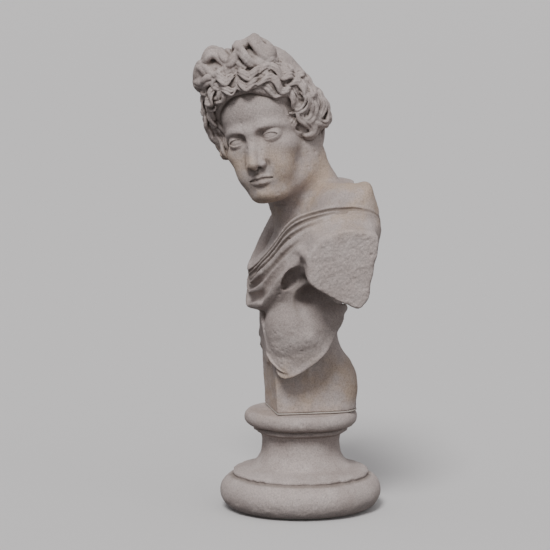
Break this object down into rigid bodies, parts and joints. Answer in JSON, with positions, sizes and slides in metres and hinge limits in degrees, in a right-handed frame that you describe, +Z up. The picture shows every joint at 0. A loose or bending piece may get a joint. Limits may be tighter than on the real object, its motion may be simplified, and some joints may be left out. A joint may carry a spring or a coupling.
{
  "type": "portrait bust on a socle",
  "caption": "Classical stone bust of a youth with knotted curly hair and a draped cloak, on a turned round socle, held by a threaded rod from below.",
  "frame": {"origin": "centre of the round resting face, on the socle's axis", "axes": "+Z up the socle's axis, -Y the way the chest faces, +X the bust's own left shoulder"},
  "size_m": [0.4026, 0.3416, 0.8371],
  "materials": {
    "stone": "weathered matt stone, pitted, with ochre stains",
    "setting_mortar": "fine lime mortar, matt",
    "zinc_steel": "zinc-plated steel",
    "anchor_resin": "set anchoring resin",
    "red_fibre": "vulcanised fibre, matt",
    "felt": "pressed wool felt"
  },
  "bodies": {
    "root": {"bust": "stone", "socle": "stone", "setting_bed": "setting_mortar", "threaded_rod": "zinc_steel", "anchor_resin": "anchor_resin", "fibre_washer": "red_fibre", "plate_washer": "zinc_steel", "hex_nut": "zinc_steel", "felt_disc": "felt"}
  },
  "joints": []
}
